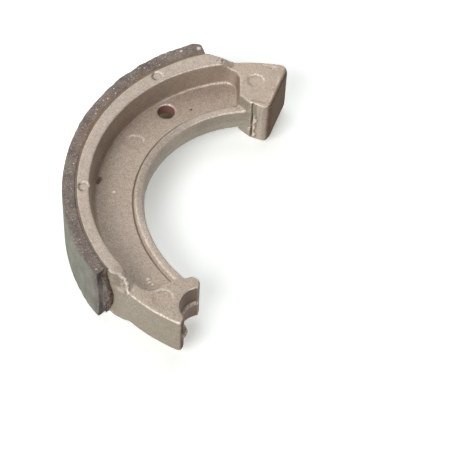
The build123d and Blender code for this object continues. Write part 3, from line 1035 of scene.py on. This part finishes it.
def lining_point(t, u, w):
    """Place on the lining: t along it, u outwards, w up."""
    height = SHOE_WIDTH * w
    start = LINING_START + CAM_END_BACK * max(u - CAM_END_FROM, 0) ** 2
    end = LINING_END + end_bulge(height) * (1 - u) ** 1.3
    end += END_LEAN * u - ANCHOR_END_BACK * max(u - ANCHOR_END_FROM, 0) ** 2
    angle = start + (end - start) * t
    outer = between(RUBBING_RADIUS, angle)
    flat = polar(outer, angle, height)
    top_edge = ramp(w, *CHIPPED_TOP) * ramp(u, *CHIPPED_OUT)
    low_edge = ramp(w, *CHIPPED_FOOT) * ramp(u, *CHIPPED_OUT)
    ragged = 0.24 + 0.20 * wave(flat, 4.8) + 0.15 * wave(flat, 1.5, 5.0)
    worn = max(ragged, 0.05) * (top_edge + low_edge)
    radius = BOND_OUTER + (outer - BOND_OUTER) * u - worn
    height += (low_edge - top_edge) * max(ragged, 0.0) * 0.8
    place = polar(radius, angle, height)
    if 0 < t < 1 and w in (0.0, 1.0):
        rough = 0.10 * wave(place, 1.1, 2.0) + 0.06 * wave(place, 2.6, 7.0)
        place.z = min(max(place.z + rough - 0.05, 0.0), SHOE_WIDTH)
    if t in (0.0, 1.0):
        stretched = Vector((place.x, place.y, place.z * 0.25))
        swing = 0.35 * wave(stretched, 0.9, 4.0) + 0.2 * wave(place, 0.9)
        place = polar(radius, angle + swing * (1 if t else -1) * 0.5, place.z)
    return place


def lining(finish):
    bm = swept_block(9, 40, 230, lining_point, crowding=0.4)
    new_piece("friction_lining_block", bm, finish, "friction_lining")


def bond_point(t, u, w):
    """Place on the bond line: t along it, u outwards, w up."""
    height = BOND_LOW + (BOND_TOP - BOND_LOW) * w
    radius = BOND_INNER + BOND_THICK * u
    angle = LINING_START + (LINING_END - LINING_START) * t
    if t > SQUEEZED_PAST:
        line = Vector((0, 0, height))
        squeezed = 0.5 + 0.55 * wave(line, 1.5) + 0.35 * wave(line, 0.6, 3.0)
        angle += end_bulge(height) + max(squeezed, 0.08)
        radius = SQUEEZED_INNER + (SQUEEZED_THICK + 0.5 * wave(line, 1.1, 5.0)) * u
    elif t < UNEVEN_TO:
        height -= 0.1 * max(wave(polar(60, angle), 1.2), 0) * w
    return polar(radius, angle, height)


def adhesive_line(finish):
    bm = swept_block(3, 40, 260, bond_point)
    new_piece("adhesive_line", bm, finish, "adhesive_film")


# ------------------------------------------------------------- studio set
def camera():
    data = bpy.data.cameras.new("camera")
    data.lens = CAMERA_LENS_MM
    data.sensor_width = CAMERA_SENSOR_MM
    data.clip_start, data.clip_end = CAMERA_RANGE
    thing = bpy.data.objects.new("camera", data)
    right = Vector(CAMERA_RIGHT)
    up = Vector(CAMERA_UP)
    turn = Matrix((right, up, right.cross(up))).transposed().to_4x4()
    thing.matrix_world = Matrix.Translation(CAMERA_PLACE) @ turn
    bpy.context.scene.collection.objects.link(thing)
    bpy.context.scene.camera = thing


def table_white():
    """White table, with painted shade and a painted dim red glow where it is seen through the
    spring hole.
    """
    f = Finish("table_white")
    unshaded_table = f.seen_directly() * f.fade(f.away(UNDER_HOLE), *UNDER_HOLE_EDGE)
    return f.set(
        Base_Color=TABLE_PAINT,
        Roughness=0.6,
        Emission_Color=f.mix(unshaded_table, HOLE_GLOW, TABLE_GLOW),
        Emission_Strength=1.0,
    )


def table_top():
    mesh = bpy.data.meshes.new("table_top")
    bm = bmesh.new()
    bmesh.ops.create_grid(bm, x_segments=1, y_segments=1, size=TABLE_HALF_SIDE)
    bm.to_mesh(mesh)
    bm.free()
    mesh.materials.append(table_white())
    thing = bpy.data.objects.new("table_top", mesh)
    bpy.context.scene.collection.objects.link(thing)


def lamp(name, azimuth, elevation, watts, width, distance):
    data = bpy.data.lights.new(name, "AREA")
    data.shape = "SQUARE"
    data.size = width
    data.energy = watts
    thing = bpy.data.objects.new(name, data)
    low = math.cos(math.radians(elevation))
    rise = math.sin(math.radians(elevation))
    turn = math.radians(azimuth)
    way = Vector((low * math.cos(turn), low * math.sin(turn), rise))
    thing.location = way * distance
    thing.rotation_euler = (-way).to_track_quat("-Z", "Y").to_euler()
    bpy.context.scene.collection.objects.link(thing)


def room():
    """A white room that is seen but gives no light of its own."""
    world = bpy.data.worlds.new("room")
    world.use_nodes = True
    nodes = Nodes(world.node_tree)
    background = nodes.tree.nodes["Background"]
    nodes.feed(background.inputs["Color"], (1, 1, 1))
    nodes.feed(background.inputs["Strength"], nodes.seen_directly())
    bpy.context.scene.world = world


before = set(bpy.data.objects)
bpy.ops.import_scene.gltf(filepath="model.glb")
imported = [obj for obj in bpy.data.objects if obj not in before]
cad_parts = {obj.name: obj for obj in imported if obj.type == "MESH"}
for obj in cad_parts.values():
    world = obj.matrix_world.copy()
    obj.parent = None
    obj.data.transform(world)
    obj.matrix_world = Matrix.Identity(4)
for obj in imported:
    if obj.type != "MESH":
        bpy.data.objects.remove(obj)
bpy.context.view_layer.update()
camera()
table_top()
room()
for settings in LAMPS:
    lamp(*settings)
casting(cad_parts["shoe_body"], cast_aluminium())
lining(friction_material())
adhesive_line(adhesive())

bpy.context.scene.view_settings.view_transform = "Standard"
